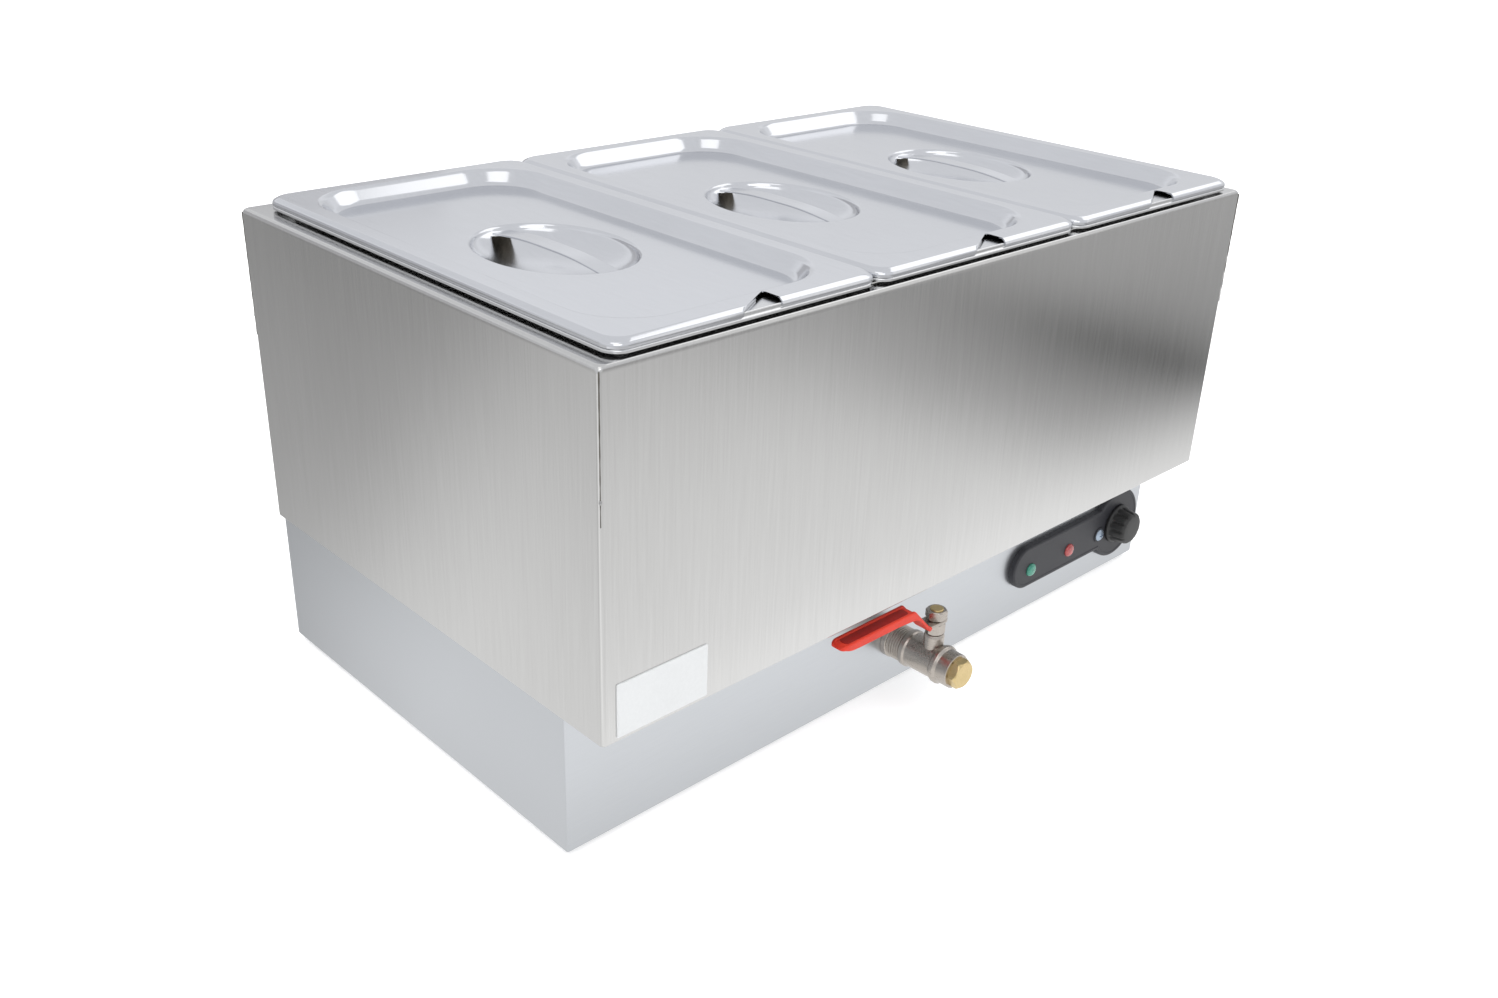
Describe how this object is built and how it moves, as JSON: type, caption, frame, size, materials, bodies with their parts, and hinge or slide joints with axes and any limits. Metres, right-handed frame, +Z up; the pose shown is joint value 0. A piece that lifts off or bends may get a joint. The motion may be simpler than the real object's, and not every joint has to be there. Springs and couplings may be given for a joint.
{
  "type": "countertop bain marie",
  "caption": "Electric wet-well bain marie: lidded gastronorm pans hang in a folded steel casing on a set-back base with a drain valve, indicator lamps and a thermostat knob.",
  "frame": {"origin": "middle of the bounding box on the surface that the feet stand on", "axes": "+X along the row of pans, -Y towards the controls and drain valve, +Z up"},
  "size_m": [0.55, 0.378, 0.3032],
  "materials": {
    "casing_steel": "brushed",
    "base_steel": "satin",
    "tank_steel": "satin",
    "plated_steel": "plated",
    "rubber": "matte",
    "pan_steel": "polished",
    "lid_steel": "polished",
    "nickel_plate": "satin plated",
    "brass": "turned",
    "red_vinyl": "dipped vinyl",
    "charcoal_plastic": "fine matte",
    "black_plastic": "satin",
    "green_lens": "translucent lens",
    "red_lens": "translucent lens",
    "cream_plastic": "moulded",
    "white_label": "enamelled plate"
  },
  "bodies": {
    "cabinet": {"base_box": "base_steel", "bottom_plate": "plated_steel", "bulb_clip": "plated_steel", "cable_gland": "black_plastic", "clamp_nut_1": "plated_steel", "clamp_nut_2": "plated_steel", "control_fascia": "charcoal_plastic", "drain_locknut": "nickel_plate", "drain_pipe": "nickel_plate", "drain_sleeve": "rubber", "element_clamp_1": "plated_steel", "element_clamp_2": "plated_steel", "fascia_screw": "nickel_plate", "foot_1": "rubber", "foot_2": "rubber", "foot_3": "rubber", "foot_4": "rubber", "foot_screw_1": "plated_steel", "foot_screw_2": "plated_steel", "foot_screw_3": "plated_steel", "foot_screw_4": "plated_steel", "gland_nut": "black_plastic", "green_lamp": "green_lens", "heating_element": "plated_steel", "name_badge": "white_label", "outlet_plug": "brass", "packing_nut": "nickel_plate", "red_lamp": "red_lens", "sensing_bulb": "brass", "terminal_block": "cream_plastic", "thermostat_body": "cream_plastic", "thermostat_screw_1": "plated_steel", "thermostat_screw_2": "plated_steel", "upper_casing": "casing_steel", "valve_body": "nickel_plate", "water_tank": "tank_steel"},
    "pan_1": {"pan_1": "pan_steel"},
    "pan_2": {"pan_2": "pan_steel"},
    "pan_3": {"pan_3": "pan_steel"},
    "lid_1": {"lid_1": "lid_steel", "lid_grip_1": "lid_steel"},
    "lid_2": {"lid_2": "lid_steel", "lid_grip_2": "lid_steel"},
    "lid_3": {"lid_3": "lid_steel", "lid_grip_3": "lid_steel"},
    "lever": {"valve_lever": "red_vinyl", "lever_nut": "nickel_plate", "valve_stem": "brass", "valve_ball": "nickel_plate"},
    "knob": {"control_knob": "black_plastic", "thermostat_spindle": "brass"}
  },
  "joints": [
    {"name": "pan_1_lift", "type": "slide", "parent": "cabinet", "child": "pan_1", "axis": [0, 0, 1], "range_m": [0, 0.17]},
    {"name": "pan_2_lift", "type": "slide", "parent": "cabinet", "child": "pan_2", "axis": [0, 0, 1], "range_m": [0, 0.17]},
    {"name": "pan_3_lift", "type": "slide", "parent": "cabinet", "child": "pan_3", "axis": [0, 0, 1], "range_m": [0, 0.17]},
    {"name": "lid_1_lift", "type": "slide", "parent": "pan_1", "child": "lid_1", "axis": [0, 0, 1], "range_m": [0, 0.05]},
    {"name": "lid_2_lift", "type": "slide", "parent": "pan_2", "child": "lid_2", "axis": [0, 0, 1], "range_m": [0, 0.05]},
    {"name": "lid_3_lift", "type": "slide", "parent": "pan_3", "child": "lid_3", "axis": [0, 0, 1], "range_m": [0, 0.05]},
    {"name": "drain_lever_turn", "type": "hinge", "parent": "cabinet", "child": "lever", "pos_m": [-0.012, -0.163, 0.038], "axis": [0, 0, 1], "range_deg": [0, 90]},
    {"name": "thermostat_knob_turn", "type": "hinge", "parent": "cabinet", "child": "knob", "pos_m": [0.236, -0.135, 0.043], "axis": [0, 1, 0], "range_deg": [0, 270]}
  ]
}
